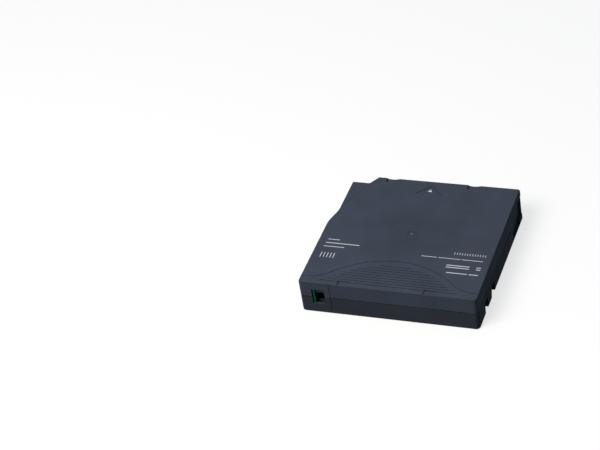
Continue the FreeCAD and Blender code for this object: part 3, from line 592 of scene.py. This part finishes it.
def ruled_mark(left, middle, height, length):
    """One mark at its place on the top face."""
    deselect()
    bpy.ops.mesh.primitive_plane_add(
        size=1.0, location=((left + length / 2) * MM, middle * MM, top_z))
    return lay_ink((length * MM, height * MM, 1), MARK_ROUND, MARK_ROUND_STEPS)


for name, left, middle, height, marks in MARK_ROWS:
    row = []
    for length, gap in marks:
        row.append(ruled_mark(left, middle, height, length))
        left += length + gap
    deselect()
    for piece in row:
        piece.select_set(True)
    bpy.context.view_layer.objects.active = row[0]
    if len(row) > 1:
        bpy.ops.object.join()
    finish_print(row[0], name)
    print(name, len(marks), "marks")

# %% [markdown]
# ## The floor
#
# The cartridge lies on a white sweep. To the camera and in reflections the floor is plain white
# with a soft shadow. To light that bounces off the case it is a matt grey, so that it doesn't
# glare at the sides. A glossy white floor would be simpler, but it would light the sides too
# much. From below it is clear, and lamps shine through it. It lies a hair below the case,
# because two faces in one place give a patchy shade.

# %% Floor
FLOOR_SIZE = 24.0
FLOOR_DROP = 0.02 * MM
FLOOR_BOUNCE = "4e575a"
SHADOW_SHARE = 0.3
WHITE = (1.0, 1.0, 1.0, 1.0)
deselect()
bpy.ops.mesh.primitive_plane_add(size=FLOOR_SIZE, location=(0, 0, -FLOOR_DROP))
floor = bpy.context.object
floor.name = "floor"
sweep = bpy.data.materials.new("matt_white_sweep")
sweep.use_nodes = True
tree = sweep.node_tree
tree.nodes.clear()
paths = add_node(tree, "ShaderNodeLightPath").outputs
mirrored = add_node(tree, "ShaderNodeMath", {
    0: paths["Is Camera Ray"], 1: paths["Is Glossy Ray"]}, operation="MAXIMUM")
seen = add_node(tree, "ShaderNodeMath", {
    0: mirrored.outputs[0], 1: paths["Is Transmission Ray"]}, operation="MAXIMUM")
matt = add_node(tree, "ShaderNodeBsdfDiffuse", {"Color": colour(FLOOR_BOUNCE)})
glow = add_node(tree, "ShaderNodeEmission", {"Color": WHITE, "Strength": 1.0})
white = add_node(tree, "ShaderNodeBsdfDiffuse", {"Color": WHITE})
shown = add_node(tree, "ShaderNodeMixShader", {
    0: SHADOW_SHARE, 1: glow.outputs[0], 2: white.outputs[0]})
surface = add_node(tree, "ShaderNodeMixShader", {
    0: seen.outputs[0], 1: matt.outputs[0], 2: shown.outputs[0]})
clear = add_node(tree, "ShaderNodeBsdfTransparent")
behind = add_node(tree, "ShaderNodeNewGeometry").outputs["Backfacing"]
through = add_node(tree, "ShaderNodeMath", {
    0: behind, 1: paths["Is Shadow Ray"]}, operation="MAXIMUM")
sheet = add_node(tree, "ShaderNodeMixShader", {
    0: through.outputs[0], 1: surface.outputs[0], 2: clear.outputs[0]})
add_node(tree, "ShaderNodeOutputMaterial", {"Surface": sheet.outputs[0]})
floor.data.materials.append(sweep)
print("floor", FLOOR_SIZE, "m")

# %% [markdown]
# ## The light
#
# The sky is dim at the horizon and brighter overhead. It is slightly blue, and darker and teal
# towards the door's side. One large, slightly warm lamp above the label edge gives the light a
# direction, and a small one under the floor shows the underside.

# %% Light
HORIZON_LEVEL = 0.08
ZENITH_LEVEL = 0.42
FADE_END = 0.9
SKY_TINT = (0.94, 0.98, 1.08, 1.0)
DOOR_SIDE_TINT = (0.1, 0.5, 0.58, 1.0)
LAMP_TINT = (1.0, 0.95, 0.9)
LAMP_POWER = 16.5
LAMP_SIZE = 0.7
LAMP_PLACE = Vector((-0.4, -0.65, 1.0))
UNDER_POWER = 0.25
UNDER_SIZE = 0.06
UNDER_PLACE = Vector((0, 0, -0.3))
world = bpy.data.worlds.new("studio")
world.use_nodes = True
tree = world.node_tree
direction = add_node(tree, "ShaderNodeSeparateXYZ", {
    0: add_node(tree, "ShaderNodeTexCoord").outputs["Generated"]}).outputs
climb = add_node(tree, "ShaderNodeMapRange", {
    "Value": direction["Z"], "From Min": 0.0, "From Max": FADE_END,
    "To Min": HORIZON_LEVEL, "To Max": ZENITH_LEVEL}, interpolation_type="SMOOTHSTEP")
above = add_node(tree, "ShaderNodeMath", {0: direction["Z"], 1: 0.0}, operation="GREATER_THAN")
level = add_node(tree, "ShaderNodeMath", {
    0: climb.outputs[0], 1: above.outputs[0]}, operation="MULTIPLY")
aside = add_node(tree, "ShaderNodeMapRange", {
    "Value": direction["X"], "From Min": 0.0, "From Max": FADE_END},
    interpolation_type="SMOOTHSTEP")
tint = add_node(tree, "ShaderNodeMix", {
    "Factor": aside.outputs[0], 6: SKY_TINT, 7: DOOR_SIDE_TINT}, data_type="RGBA")
feed(tree, tree.nodes["Background"], {"Color": tint.outputs[2], "Strength": level.outputs[0]})
bpy.context.scene.world = world


def soft_box(name, power, size, place):
    """A square lamp that faces the origin."""
    lamp_data = bpy.data.lights.new(name, "AREA")
    lamp_data.energy = power
    lamp_data.size = size
    lamp_data.color = LAMP_TINT
    lamp = bpy.data.objects.new(name, lamp_data)
    bpy.context.scene.collection.objects.link(lamp)
    lamp.location = place
    lamp.rotation_mode = "QUATERNION"
    lamp.rotation_quaternion = (-place).to_track_quat("-Z", "Y")
    lamp.visible_camera = False


soft_box("soft_box", LAMP_POWER, LAMP_SIZE, LAMP_PLACE)
soft_box("under_box", UNDER_POWER, UNDER_SIZE, UNDER_PLACE)
print("two lamps,", LAMP_POWER, "and", UNDER_POWER, "W, under a sky from", HORIZON_LEVEL, "to",
      ZENITH_LEVEL)
